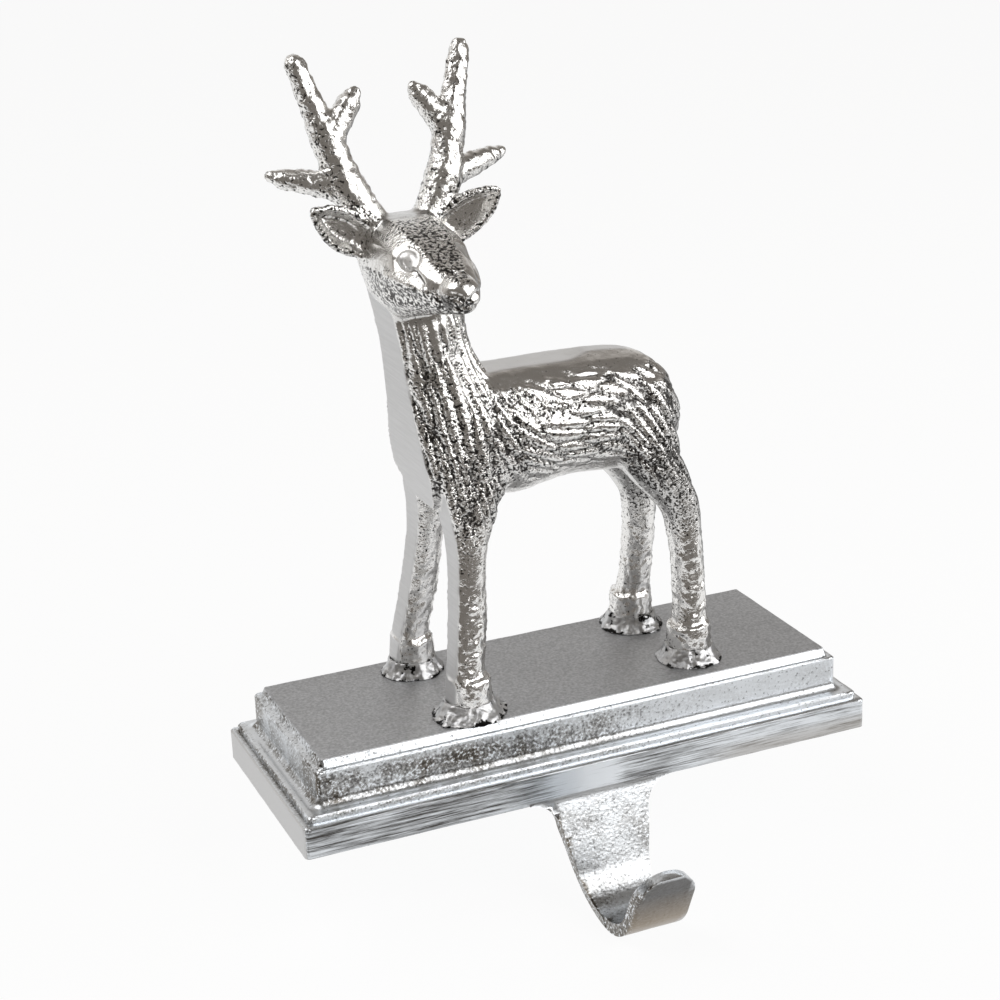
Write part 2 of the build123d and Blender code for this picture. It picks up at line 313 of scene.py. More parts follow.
def sanded_casting(colours):
    """Cast aluminium, sanded along its front edge and matt on top: bright mouldings with a faint sparkle.

    The piece's attributes say where sheen is painted on the sanded front, where a tan tint lies, which on the
    lip is a painted reflection, how grainy it is, with painted shade in that, and where a grey wash and
    painted shade lie.
    """
    material, tree = new_material("sanded_aluminium_casting")
    at = add_node(tree, "ShaderNodeTexCoord").outputs["Object"]
    place = add_node(tree, "ShaderNodeSeparateXYZ", {0: at}).outputs
    sheen, tarnish, grain, patina = (
        add_node(tree, "ShaderNodeAttribute", attribute_name=name).outputs["Fac"]
        for name in ("sheen", "tarnish", "grain", "patina")
    )
    # Grains of 0.25 mm are drawn at 0.7 mm, so that they show in the render
    fine = add_node(
        tree, "ShaderNodeTexNoise", {"Vector": at, "Scale": per(0.7), "Detail": 2.0, "Roughness": 0.55}
    ).outputs[0]
    # The grey wash and painted shade lie in clouds about a centimetre across, and coarser sand left the hook
    # pebbled
    cloud = add_node(
        tree, "ShaderNodeTexNoise", {"Vector": at, "Scale": per(11.0), "Detail": 3.0, "Roughness": 0.6}
    ).outputs[0]
    pebble = add_node(
        tree, "ShaderNodeTexNoise", {"Vector": at, "Scale": per(0.85), "Detail": 1.0, "Roughness": 0.5}
    ).outputs[0]
    # Sanding lines of 0.15 mm are drawn at 0.6 mm, so that they show; they lie level, nearly 2 cm long
    lines_at = add_node(tree, "ShaderNodeMapping", {"Vector": at, "Scale": (0.035, 0.035, 1.0)}).outputs[0]
    lines = add_node(
        tree, "ShaderNodeTexNoise", {"Vector": lines_at, "Scale": per(0.6), "Detail": 4.0, "Roughness": 0.75}
    ).outputs[0]
    top, upper, hook, rise = (
        add_node(tree, "ShaderNodeMapRange", {0: place["Z"], 1: start, 2: full}).outputs[0]
        for start, full in (PLATE_TOP, PLINTH_FOOT, HOOK_TOP, LIP_RISE)
    )
    front = add_node(
        tree, "ShaderNodeMapRange", {0: place["Y"], 1: PLINTH_FRONT[0], 2: PLINTH_FRONT[1]}
    ).outputs[0]
    front = add_node(tree, "ShaderNodeMath", {0: front, 1: upper}, operation="MULTIPLY").outputs[0]
    side = add_node(tree, "ShaderNodeMath", {0: place["X"]}, operation="ABSOLUTE").outputs[0]
    ends = add_node(
        tree, "ShaderNodeMapRange", {0: side, 1: PLINTH_END[0], 2: PLINTH_END[1]}
    ).outputs[0]
    # The grainier the skin and the heavier the grey wash and painted shade, the more of it is pits
    thick = add_node(tree, "ShaderNodeMapRange", {0: cloud, 1: 0.36, 2: 0.62, 3: 0.35, 4: 1.5}).outputs[0]
    thick = add_node(
        tree, "ShaderNodeMath", {0: thick, 1: patina}, operation="MULTIPLY", use_clamp=True
    ).outputs[0]
    shift = add_node(tree, "ShaderNodeMapRange", {0: grain, 3: 0.16, 4: -0.04}).outputs[0]
    level = add_node(tree, "ShaderNodeMath", {0: fine, 1: shift}, operation="ADD").outputs[0]
    level = add_node(
        tree, "ShaderNodeMath", {0: thick, 1: -0.08, 2: level}, operation="MULTIPLY_ADD"
    ).outputs[0]
    pits = add_node(tree, "ShaderNodeMapRange", {0: level, 1: 0.38, 2: 0.48, 3: 0.6, 4: 0.0}).outputs[0]
    sparkle = add_node(tree, "ShaderNodeMapRange", {0: fine, 1: 0.56, 2: 0.62}).outputs[0]
    washed_and_shaded = add_node(
        tree,
        "ShaderNodeMix",
        {0: thick, 6: colour(colours.sanded), 7: colour(colours.patina)},
        data_type="RGBA",
    ).outputs[2]
    skin = add_node(
        tree, "ShaderNodeMix", {0: sparkle, 6: washed_and_shaded, 7: colour(colours.sanded)}, data_type="RGBA"
    ).outputs[2]
    skin = add_node(
        tree, "ShaderNodeMix", {0: pits, 6: skin, 7: colour(colours.dark)}, data_type="RGBA"
    ).outputs[2]
    streak = add_node(tree, "ShaderNodeMapRange", {0: lines, 1: 0.3, 2: 0.7, 3: -0.75, 4: 0.75}).outputs[0]
    # The painted sheen is kept at half its size, so it is doubled here
    streak = add_node(
        tree, "ShaderNodeMath", {0: sheen, 1: 2.0, 2: streak}, operation="MULTIPLY_ADD", use_clamp=True
    ).outputs[0]
    sanded = add_node(
        tree,
        "ShaderNodeMix",
        {0: streak, 6: colour(colours.scratch), 7: colour(colours.sanded)},
        data_type="RGBA",
    ).outputs[2]
    speck = add_node(tree, "ShaderNodeMapRange", {0: fine, 1: 0.3, 2: 0.72, 3: 0.8, 4: 1.22}).outputs[0]
    matt = add_node(
        tree,
        "ShaderNodeMix",
        {0: 1.0, 6: colour(colours.plate), 7: speck},
        data_type="RGBA",
        blend_type="MULTIPLY",
    ).outputs[2]
    shade = add_node(tree, "ShaderNodeMix", {0: front, 6: skin, 7: sanded}, data_type="RGBA").outputs[2]
    # Painted reflection: the lip's front is painted darker towards its top
    rise = add_node(tree, "ShaderNodeMath", {0: rise, 1: hook}, operation="MULTIPLY").outputs[0]
    film = add_node(
        tree, "ShaderNodeMix", {0: rise, 6: colour(colours.tan), 7: colour(colours.scratch)}, data_type="RGBA"
    ).outputs[2]
    shade = add_node(
        tree, "ShaderNodeMix", {0: tarnish, 6: shade, 7: film}, data_type="RGBA"
    ).outputs[2]
    shade = add_node(
        tree, "ShaderNodeMix", {0: ends, 6: shade, 7: colour(colours.ground)}, data_type="RGBA"
    ).outputs[2]
    shade = add_node(tree, "ShaderNodeMix", {0: top, 6: shade, 7: matt}, data_type="RGBA").outputs[2]
    dull = add_node(tree, "ShaderNodeMath", {0: top, 1: ends}, operation="MAXIMUM").outputs[0]
    rough = add_node(tree, "ShaderNodeMapRange", {0: dull, 3: 0.3, 4: 0.55}).outputs[0]
    height = add_node(tree, "ShaderNodeMix", {0: hook, 2: fine, 3: pebble}).outputs[0]
    height = add_node(tree, "ShaderNodeMix", {0: front, 2: height, 3: lines}).outputs[0]
    relief = add_node(tree, "ShaderNodeMapRange", {0: grain, 3: 0.05, 4: 0.7}).outputs[0]
    relief = add_node(tree, "ShaderNodeMapRange", {0: dull, 3: relief, 4: 0.05}).outputs[0]
    bump = add_node(
        tree, "ShaderNodeBump", {"Strength": relief, "Distance": 0.2 * MM, "Height": height}
    ).outputs[0]
    shader = add_node(
        tree,
        "ShaderNodeBsdfPrincipled",
        {"Base Color": shade, "Metallic": 1.0, "Roughness": rough, "Normal": bump},
    ).outputs[0]
    add_node(tree, "ShaderNodeOutputMaterial", {"Surface": shader})
    return material


def weld_aluminium(colours):
    """Weld metal frozen in folds: dull and rough, with burnt voids."""
    material, tree = new_material("weld_aluminium")
    at = add_node(tree, "ShaderNodeTexCoord").outputs["Object"]
    # Folds of 1 to 2 mm, and voids of some millimetres along the edge of the bead
    folds = add_node(
        tree, "ShaderNodeTexNoise", {"Vector": at, "Scale": per(1.6), "Detail": 3.0, "Roughness": 0.65}
    ).outputs[0]
    voids = add_node(
        tree, "ShaderNodeTexNoise", {"Vector": at, "Scale": per(4.0), "Detail": 3.0, "Roughness": 0.7}
    ).outputs[0]
    crack = add_node(tree, "ShaderNodeAttribute", attribute_name="crack").outputs["Fac"]
    voids = add_node(
        tree, "ShaderNodeMath", {0: crack, 1: 0.12, 2: voids}, operation="MULTIPLY_ADD"
    ).outputs[0]
    burnt = add_node(tree, "ShaderNodeMapRange", {0: voids, 1: 0.585, 2: 0.63}).outputs[0]
    tint = add_node(tree, "ShaderNodeMapRange", {0: folds, 1: 0.35, 2: 0.65}).outputs[0]
    skin = add_node(
        tree,
        "ShaderNodeMix",
        {0: tint, 6: colour(colours.plate), 7: colour(colours.ground)},
        data_type="RGBA",
    ).outputs[2]
    shade = add_node(
        tree, "ShaderNodeMix", {0: burnt, 6: skin, 7: colour(colours.soot)}, data_type="RGBA"
    ).outputs[2]
    bump = add_node(
        tree, "ShaderNodeBump", {"Strength": 0.5, "Distance": 0.25 * MM, "Height": folds}
    ).outputs[0]
    shader = add_node(
        tree,
        "ShaderNodeBsdfPrincipled",
        {"Base Color": shade, "Metallic": 1.0, "Roughness": 0.4, "Normal": bump},
    ).outputs[0]
    add_node(tree, "ShaderNodeOutputMaterial", {"Surface": shader})
    return material


def pale_paper():
    """Seamless white paper: white to the camera and to reflections, and it keeps a soft shadow."""
    material, tree = new_material("white_paper")
    path = add_node(tree, "ShaderNodeLightPath").outputs
    seen = add_node(
        tree, "ShaderNodeMath", {0: path["Is Camera Ray"], 1: path["Is Glossy Ray"]}, operation="MAXIMUM"
    ).outputs[0]
    seen = add_node(
        tree, "ShaderNodeMath", {0: seen, 1: path["Is Transmission Ray"]}, operation="MAXIMUM"
    ).outputs[0]
    share = add_node(tree, "ShaderNodeMath", {0: seen, 1: 0.93}, operation="MULTIPLY").outputs[0]
    lit = add_node(tree, "ShaderNodeBsdfDiffuse", {"Color": colour(linear("#f4f4f4"))}).outputs[0]
    # The metal mirrors a darker floor to the right behind it, as past the edge of the lamps
    at = add_node(tree, "ShaderNodeNewGeometry").outputs["Position"]
    place = add_node(tree, "ShaderNodeSeparateXYZ", {0: at}).outputs
    right = add_node(tree, "ShaderNodeMapRange", {0: place["X"], 1: 0.06, 2: 0.22}).outputs[0]
    behind = add_node(tree, "ShaderNodeMapRange", {0: place["Y"], 1: 0.0, 2: 0.12}).outputs[0]
    far = add_node(tree, "ShaderNodeMath", {0: right, 1: behind}, operation="MULTIPLY").outputs[0]
    far = add_node(
        tree, "ShaderNodeMath", {0: far, 1: path["Is Glossy Ray"]}, operation="MULTIPLY"
    ).outputs[0]
    glow = add_node(tree, "ShaderNodeMapRange", {0: far, 3: 1.0, 4: 0.3}).outputs[0]
    white = add_node(tree, "ShaderNodeEmission", {"Strength": glow}).outputs[0]
    mixed = add_node(tree, "ShaderNodeMixShader", {0: share, 1: lit, 2: white}).outputs[0]
    add_node(tree, "ShaderNodeOutputMaterial", {"Surface": mixed})
    return material


def only(piece):
    """Selects one object alone and makes it active."""
    bpy.ops.object.select_all(action="DESELECT")
    piece.select_set(True)
    bpy.context.view_layer.objects.active = piece


def copy_of_node(node, name):
    """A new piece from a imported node's mesh, with its doubles merged."""
    piece = bpy.data.objects.new(name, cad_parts[node].data.copy())
    piece.data.materials.clear()
    bpy.context.scene.collection.objects.link(piece)
    only(piece)
    bpy.ops.object.mode_set(mode="EDIT")
    bpy.ops.mesh.select_all(action="SELECT")
    bpy.ops.mesh.remove_doubles(threshold=0.004 * MM)
    bpy.ops.object.mode_set(mode="OBJECT")
    return piece


def even_skin(piece, size):
    """Re-meshes a piece to quads of an even size."""
    only(piece)
    piece.data.remesh_voxel_size = size
    piece.data.remesh_voxel_adaptivity = 0
    bpy.ops.object.voxel_remesh()
    # The facets' own normals are carried over, and would show as tiles
    bpy.ops.mesh.customdata_custom_splitnormals_clear()


def apply_modifier(piece, kind, **settings):
    """Adds a modifier with its settings and applies it."""
    only(piece)
    made = piece.modifiers.new(kind.lower(), kind)
    for key, value in settings.items():
        setattr(made, key, value)
    bpy.ops.object.modifier_apply(modifier=made.name)


def wave_skin(piece, name, size_mm, strength, **settings):
    """Presses a cloudy unevenness of a size in millimetres into a piece's skin."""
    wave = bpy.data.textures.new(name, "CLOUDS")
    wave.noise_scale = size_mm * MM
    apply_modifier(
        piece, "DISPLACE", texture=wave, texture_coords="LOCAL", strength=strength, **settings
    )


# A vertex group is filled in steps of weight, so that a few calls do for all its points
WEIGHT_STEPS = 40


def weigh(piece, name, weights):
    """A vertex group from an array of weights; gives its name."""
    group = piece.vertex_groups.new(name=name)
    steps = np.round(weights * WEIGHT_STEPS).astype(int)
    for step in np.unique(steps):
        if step > 0:
            points = [int(i) for i in np.nonzero(steps == step)[0]]
            group.add(points, step / WEIGHT_STEPS, "REPLACE")
    return group.name


def points_of(piece):
    """Places and normals of a piece's vertices, in millimetres."""
    count = len(piece.data.vertices)
    places = np.empty(count * 3, np.float32)
    normals = np.empty(count * 3, np.float32)
    piece.data.vertices.foreach_get("co", places)
    piece.data.vertex_normals.foreach_get("vector", normals)
    return places.reshape(-1, 3).astype(float) / MM, normals.reshape(-1, 3).astype(float)


def move_points(piece, places):
    """Puts a piece's vertices at places in millimetres, none outside the part's box."""
    places = np.clip(places, np.array(CAD_LOW) / MM, np.array(CAD_HIGH) / MM)
    piece.data.vertices.foreach_set("co", (places * MM).astype(np.float32).ravel())
    piece.data.update()


def mark(piece, name, values):
    """Keeps a value from 0 to 1 for each vertex, which the finish reads."""
    made = piece.data.attributes.new(name, "FLOAT", "POINT")
    made.data.foreach_set("value", np.clip(values, 0, 1).astype(np.float32))


def ease(low, high, value):
    """A smooth step from 0 at low to 1 at high."""
    share = np.clip((value - low) / (high - low), 0, 1)
    return share * share * (3 - 2 * share)


def band(low, high, soft, value):
    """One between low and high, and a soft fall to nought on both sides."""
    return ease(low - soft, low + soft, value) * (1 - ease(high - soft, high + soft, value))


def along(places, path):
    """Distance of each place from a path, and the share of the way along it."""
    path = np.asarray(path, float)
    nearest = np.full(len(places), np.inf)
    share = np.zeros(len(places))
    for index in range(len(path) - 1):
        run = path[index + 1] - path[index]
        step = np.clip((places - path[index]) @ run / (run @ run), 0, 1)
        far = np.linalg.norm(places - path[index] - step[:, None] * run, axis=1)
        closer = far < nearest
        nearest[closer] = far[closer]
        share[closer] = (index + step[closer]) / (len(path) - 1)
    return nearest, share


def finish_piece(piece, material, slot, *nodes):
    """Gives a piece its finish and its place on the part."""
    only(piece)
    bpy.ops.object.shade_smooth()
    piece.data.materials.append(material)
    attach(piece, "root")
    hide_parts(*nodes)


# The head's middle in millimetres, as in the part; its points are span, reach forward and height
HEAD = np.array([-36.4, 0.0, 139.0])
EYE = (7.9, 27.5, 6.3)
EAR_ROOT = (5.0, 4.4, 2.4)
EAR_TIP = (25.2, 8.5, 16.8)
EAR_HALF_WIDTH = 5.4
# The dish of an ear: where along it the dish begins, how far inside the outline it sinks, the rim's
# width, how far forward the rim stands, and the depth
EAR_FOOT = (0.2, 0.36)
EAR_BOWL = (1.0, 3.6)
EAR_RIM = 0.9
EAR_RIM_FRONT = 2.5
EAR_DEPTH = 3.0
# The face is all above and in front of these, and the antlers above theirs
FACE_ABOVE = 124
FACE_BEFORE = -2
ANTLERS_ABOVE = 146
EYE_BALL = (1.4, 2.4)
EYE_LIDS = (2.4, 3.4)
EYE_BULGE = 0.5
NOSE_RIM = (39.2, 41)
NOSE_SWELL = 0.2
ANTLER_FORKS = ((12.4, 2.6, 18.8), (15.0, -0.8, 30.0))
ANTLER_TINES = (((15.0, -0.8, 30.0), (7.6, -2.2, 40.0)), ((12.4, 2.6, 18.8), (29.8, -2.6, 22.4)))
FORK_SWELL = 1.1
FORK_REACH = 5.0
TINE_SWELL = 0.6
TINE_REACH = (3.5, 4.5)
TINE_TIP = (0.8, 1)

# Soft edges between the deer's zones, in millimetres: where the change starts and where it is full.
# Heights, from the hooves up
HOOF_TOP = (21, 24)
LEG_TOP = (52, 64)
SHIN_TOP = (58, 64)
FUR_FOOT = (62, 76)
LOW_FLANK_TOP = (80, 90)
BELLY_TOP = (84, 92)
BACK_FOOT = (96, 101)
NECK_RISE = (96, 120)
HAUNCH_TOP = (97, 106)
NECK_ROLL_FOOT = (102, 110)
WITHERS = (104, 112)
COLLAR_FOOT = (121, 125)
CHIN = (122, 126)
FUR_TOP = (122, 126.5)
CROWN = (131, 134)
FACE_TOP = (152, 155)
ANTLER_FOOT = (152, 156)
# Places along the deer, from its chest back
NECK_BACK = (-26, 6)
THROAT_BACK = (-20, -16)
NECK_ROLL_BACK = (-14, -6)
SHOULDER = (-12, 2)
FLANK_FRONT = (-6, 6)
FLANK = (0, 12)
HIP = (4, 14)
HAUNCH_FRONT = (10, 24)
RUMP = (18, 28)
TAIL = (36, 42)
# Places across the deer, towards its nose
FACE_BACK = (-8, -12)
HEAD_BACK = (-12, -14)
CROWN_FRONT = (-15, -11)

# Heights between which the throat and the saddle were ground
THROAT = (20, 133)
SADDLE = (107, 109.4)


def on_head(side, points):
    """Points given from the head's middle plane, as places; side is -1 or 1."""
    points = np.atleast_2d(np.asarray(points, float))
    return HEAD + points * (side, 1, 1) * (1, -1, 0) + points[:, [0, 2, 2]] * (0, 0, 1)


# Cuts and ridges of the face, for one side: points, depth (below nought is a ridge) and half width
FACE_CUTS = (
    # Lids, and the inner corner of the eye
    (((9.4, 24.4, 5.2), (9.2, 26.0, 3.8), (8.6, 28.4, 3.2), (7.5, 31.0, 3.4)), 0.7, 0.6),
    (((9.0, 24.4, 6.0), (7.8, 26.4, 8.3), (7.0, 28.8, 8.0), (6.8, 31.0, 6.0)), 0.5, 0.5),
    (((7.4, 30.8, 4.0), (6.8, 33.0, 2.6), (6.3, 34.6, 1.4)), 1.1, 0.65),
    # Pupil
    (((8.0, 27.2, 6.2), (7.7, 28.0, 5.9)), 0.4, 0.6),
    # Brow and cheekbone
    (((8.9, 21.5, 9.6), (6.6, 27.0, 9.6), (5.6, 31.5, 7.6), (4.9, 36.0, 5.0)), -0.5, 1.1),
    (((10.4, 21.0, 1.4), (9.5, 27.0, 1.0), (8.2, 31.0, 0.4), (6.6, 35.5, -0.2)), -0.7, 1.3),
    # Hollow of the cheek
    (((10.2, 21.5, -4.2), (8.6, 27.5, -4.2), (7.0, 32.0, -3.8)), 0.5, 2.0),
    # Rim of the nose, nostril and mouth
    (((0, 38.6, 4.2), (2.6, 38.7, 3.4), (4.3, 39.0, 1.6), (4.7, 39.2, -0.8)), 0.55, 0.8),
    (((4.7, 39.2, -0.8), (3.8, 39.6, -3.2), (1.6, 40.0, -4.6), (0, 40.2, -4.9)), 0.8, 0.9),
    (((1.3, 45.4, -0.2), (2.4, 44.8, 0.4), (3.3, 43.6, 0.5), (3.6, 42.8, -0.6)), 0.9, 0.55),
    (((0, 45.6, -1.0), (0, 45.2, -2.4), (1.8, 44.6, -3.0), (3.4, 43.0, -2.8)), 0.8, 0.5),
)


def carve_face(places, normals, groove):
    """Cuts the face's lines as grooves and rounds the eyes and the nose; gives the share in an eye."""
    near = np.nonzero((places[:, 2] > FACE_ABOVE) & (places[:, 1] < FACE_BEFORE))[0]
    here = places[near].copy()
    facing = normals[near]
    nose = ease(*NOSE_RIM, -here[:, 1])
    here += facing * (NOSE_SWELL * nose)[:, None]
    cut = np.zeros(len(near))
    eye = np.zeros(len(places))
    for side in (-1, 1):
        # The eye bulges from its lids
        far = np.linalg.norm((here - on_head(side, EYE)) * (1, 0.75, 1), axis=1)
        bulge = EYE_BULGE * (1 - ease(*EYE_BALL, far)) - EYE_BULGE * band(*EYE_LIDS, 0.5, far)
        here += facing * bulge[:, None]
        eye[near] = np.maximum(eye[near], 1 - ease(*EYE_LIDS, far))
        for points, depth, half_width in FACE_CUTS:
            far, _ = along(here, on_head(side, points))
            fall = np.exp(-((far / half_width) ** 2))
            here -= facing * (depth * fall)[:, None]
            # The deeper cuts are painted dark, as shade in them
            cut = np.maximum(cut, fall * ease(0.5, 1.1, depth))
    # Painted shadow beside the nose, on its lower sides turned left, away from the light
    nose_shadow = nose * ease(0.45, 0.75, -facing[:, 0]) * (1 - ease(138.5, 140, here[:, 2]))
    places[near] = here
    groove[near] = np.maximum(groove[near], np.maximum(cut, 0.8 * nose_shadow))
    return eye


def thicken_antlers(places, normals):
    """Fills the forks of the antlers and rounds their tines, which the mould left thick."""
    near = np.nonzero(places[:, 2] > ANTLERS_ABOVE)[0]
    here = places[near]
    swell = np.zeros(len(near))
    for side in (-1, 1):
        for fork in ANTLER_FORKS:
            far = np.linalg.norm(here - on_head(side, fork), axis=1)
            swell = np.maximum(swell, FORK_SWELL * np.exp(-((far / FORK_REACH) ** 2)))
        for tine in ANTLER_TINES:
            far, share = along(here, on_head(side, tine))
            round_tine = TINE_SWELL * (1 - ease(*TINE_REACH, far)) * (1 - ease(*TINE_TIP, share))
            swell = np.maximum(swell, round_tine)
    places[near] += normals[near] * swell[:, None]


def ear_frame(places, side):
    """Share along an ear, distance inside its outline, distance in front of it, and its way forward."""
    root = on_head(side, EAR_ROOT)[0]
    run = on_head(side, EAR_TIP)[0] - root
    length = np.linalg.norm(run)
    across = np.cross(run, (0, -1, 0))
    across /= np.linalg.norm(across)
    forward = np.cross(across, run)
    forward /= np.linalg.norm(forward)
    apart = places - root
    share = apart @ run / length**2
    # The outline is a lens of two arcs
    arc = (length**2 / 4 + EAR_HALF_WIDTH**2) / (2 * EAR_HALF_WIDTH)
    inside = arc - np.hypot(length * (share - 0.5), np.abs(apart @ across) + arc - EAR_HALF_WIDTH)
    return share, inside, apart @ forward, forward


def hollow_ears(places, normals):
    """Sinks a dish into the front of each ear; returns how deep each point lies in it, and the rims."""
    depth = np.zeros(len(places))
    rim = np.zeros(len(places))
    for side in (-1, 1):
        share, inside, front, forward = ear_frame(places, side)
        facing = (normals @ forward > 0.05) & (np.abs(front - 1.2) < 2)
        facing &= (inside > 0) & (share > EAR_FOOT[0])
        bowl = ease(*EAR_BOWL, inside) * ease(*EAR_FOOT, share)
        sunk = np.where(facing & (inside > EAR_RIM), EAR_RIM_FRONT - EAR_DEPTH * bowl - front, 0)
        places += (sunk * ease(*EAR_FOOT, share))[:, None] * forward
        depth = np.where(facing, np.maximum(depth, bowl), depth)
        edge = (np.abs(front) < 4) & (np.abs(inside) < 1.8) & (share > 0.3) & (share < 1.1)
        rim = np.maximum(rim, edge * (1 - depth))
    return depth, rim


# Fur of the neck, the flank and the haunch: its way as x and z, and its tufts' length, width and groove
FUR_KINDS = np.array(
    [
        (0.16, -1.0, 34, 2.5, 0.7),
        (1.0, -0.08, 11, 3.0, 0.45),
        (0.55, -0.84, 18, 2.3, 0.6),
    ]
)
# The field of x and z in which tufts are tried, how many tries, and the least gap in tufts, squared
FUR_FIELD = ((-52, 48), (48, 134))
TUFT_TRIES = 14000
TUFT_GAP = 0.6
# Points whose tufts are sought at once, which bounds the memory
POINTS_AT_ONCE = 4000
# The neck is near a round of this radius, about an axis that leans forward from its foot
NECK_RADIUS = 11
NECK_FOOT = (-25.8, 106)
NECK_LEAN = 0.25


def fur_lie(x, z):
    """Way of the fur on the side, as x and z, with its tufts' length, width and groove there."""
    neck = 1 - ease(*NECK_BACK, x)
    haunch = ease(*HAUNCH_FRONT, x) * (1 - 0.6 * ease(*HAUNCH_TOP, z))
    flank = np.clip(1 - neck - haunch, 0, 1)
    mixed = sum(share[..., None] * kind for share, kind in zip((neck, flank, haunch), FUR_KINDS))
    way = mixed[..., :2] / np.linalg.norm(mixed[..., :2], axis=-1, keepdims=True)
    return way, mixed[..., 2], mixed[..., 3], mixed[..., 4]


def tuft_places(random):
    """Middles of the tufts on one side, no two nearer than a tuft's length or width."""
    tries = np.column_stack([random.uniform(*span, TUFT_TRIES) for span in FUR_FIELD])
    ways, lengths, widths, _ = fur_lie(*tries.T)
    kept = []
    for index in range(len(tries)):
        apart = tries[index] - tries[kept]
        ahead = apart @ ways[index] / lengths[index]
        aside = apart @ (ways[index][1], -ways[index][0]) / widths[index]
        if not kept or np.min(ahead**2 + aside**2) > TUFT_GAP:
            kept.append(index)
    return tries[kept], ways[kept], lengths[kept], widths[kept]


def tuft_heights(points, random):
    """Height of the fur over each point of a side, from 0 in a groove to 1 on a tuft's ridge."""
    middles, ways, lengths, widths = tuft_places(random)
    grooves = fur_lie(*points.T)[3]
    heights = np.empty(len(points))
    for start in range(0, len(points), POINTS_AT_ONCE):
        some = slice(start, start + POINTS_AT_ONCE)
        apart = points[some, None, :] - middles
        ahead = (apart * ways).sum(2) / lengths * 2
        aside = (apart[..., 0] * ways[:, 1] - apart[..., 1] * ways[:, 0]) / widths * 2
        # A tuft is a lens, pointed at both ends
        far = np.abs(aside) + ahead**2
        nearest = np.argmin(far, axis=1)
        rows = np.arange(len(far))
        first = far[rows, nearest]
        tip = ahead[rows, nearest]
        far[rows, nearest] = np.inf
        gap = far.min(axis=1) - first
        dome = 1 - 0.35 * np.minimum(first, 1.1) ** 2 + 0.12 * tip
        ridge = ease(-0.1, grooves[some], gap)
        # Where no tuft is near, the skin lies half-way
        heights[some] = np.maximum(ridge, 0.6 * ease(0.75, 1.1, first)) * dome
    return np.clip(heights, 0, 1)


def unrolled(places):
    """Places on a side as x and z, with the neck unrolled about its axis."""
    x, y, z = places.T
    axis = NECK_FOOT[0] - NECK_LEAN * (z - NECK_FOOT[1])
    round_x = axis + NECK_RADIUS * np.arctan2(x - axis, np.abs(y))
    neck = ease(*NECK_ROLL_FOOT, z) * (1 - ease(*NECK_ROLL_BACK, x))
    wave = 0.3 * np.sin(z / 3.4 + x / 3.7) * np.array([[1], [0.6]])
    return np.column_stack([x + neck * (round_x - x), z]) + wave.T


def evened(piece, values, rounds):
    """Averages values of a piece's points with those of their neighbours, some rounds over."""
    ends = np.empty(2 * len(piece.data.edges), dtype=np.int32)
    piece.data.edges.foreach_get("vertices", ends)
    one, other = ends.reshape(-1, 2).T
    count = len(values)
    shared = np.bincount(ends, minlength=count)
    for _ in range(rounds):
        total = np.bincount(one, values[other], count) + np.bincount(other, values[one], count)
        values = 0.5 * values + 0.5 * total / np.maximum(shared, 1)
    return values


# The curve of a ground leg is fitted about its middle height; grinding moves no point by more than this
LEG_MIDDLE = 42
LEG_HALF = 22
GRIND_MOST = 0.8


def plane_legs(places, flat):
    """Grinds the fronts of the two fore legs to one even curve each."""
    x, y, z = places.T
    for side in (-1, 1):
        here = np.nonzero((flat > 0.5) & (z < LEG_TOP[1]) & (y * side > 0))[0]
        up = (z[here] - LEG_MIDDLE) / LEG_HALF
        terms = np.stack([*(up**power for power in range(5)), y[here], y[here] * up], axis=1)
        fit = np.linalg.lstsq(terms, x[here], rcond=None)[0]
        share = ease(0.5, 0.9, flat[here]) * (1 - ease(*SHIN_TOP, z[here])) * ease(*HOOF_TOP, z[here])
        x[here] += share * np.clip(terms @ fit - x[here], -GRIND_MOST, GRIND_MOST)


# How far each point belongs to a part of the deer, from 0 to 1
Zones = namedtuple("Zones", "throat ground head leg ear face antler")


def ground_throat(piece, places, normals):
    """Share of each point in the flat that was ground down the chest and the fore legs."""
    x, _, z = places.T
    throat = ease(0.72, 0.9, -normals[:, 0]) * band(*THROAT, 2, z) * (1 - ease(*THROAT_BACK, x))
    return ease(0.35, 0.65, evened(piece, throat, 16))


def deer_zones(places, normals, throat):
    """The zones of the deer's points."""
    _, y, z = places.T
    saddle = ease(0.93, 0.98, normals[:, 2]) * band(*SADDLE, 0.3, z)
    ground = np.maximum(throat, 0.75 * saddle)
    head = np.maximum(ease(*HEAD_BACK, y) * ease(*CHIN, z), ease(*CROWN, z))
    leg = 1 - ease(*LEG_TOP, z)
    ear = np.zeros(len(places))
    for side in (-1, 1):
        share, inside, front, _ = ear_frame(places, side)
        near = (inside > -2) * (np.abs(front) < 5)
        ear = np.maximum(ear, band(0.25, 1.1, 0.08, share) * near)
    face = head * ease(*FACE_BACK, y) * (1 - ease(*FACE_TOP, z)) * (1 - ear)
    return Zones(throat, ground, head, leg, ear, face, ease(*ANTLER_FOOT, z))


def soften_deer(piece, zones):
    """Rounds the deer as its mould did: most on the trunk, least on the head, the legs and the flats."""
    soft = (1 - 0.7 * zones.leg) * (1 - 0.65 * zones.head) * (1 - ease(0.3, 0.7, zones.ground))
    soft = np.maximum(soft, 0.4 * zones.leg * zones.throat)
    for name, weights, rounds in (("soft", soft, 30), ("ear", zones.ear, 5)):
        group = weigh(piece, name, weights)
        apply_modifier(piece, "SMOOTH", factor=0.5, iterations=rounds, vertex_group=group)


def crumple_deer(piece, zones, wave):
    """Presses the mould's unevenness into the deer, deepest on the legs and the antlers."""
    cast = weigh(piece, "cast", (1 - zones.ground) * (1 - 0.8 * zones.face))
    rough = weigh(piece, "rough", (1 - zones.ground) * np.maximum(zones.leg, zones.antler))
    wave_skin(piece, "mould_wave", 7, wave, vertex_group=cast)
    wave_skin(piece, "mould_crumple", 2.4, wave, vertex_group=cast)
    wave_skin(piece, "mould_foil", 1.7, wave * 3.3, vertex_group=rough)


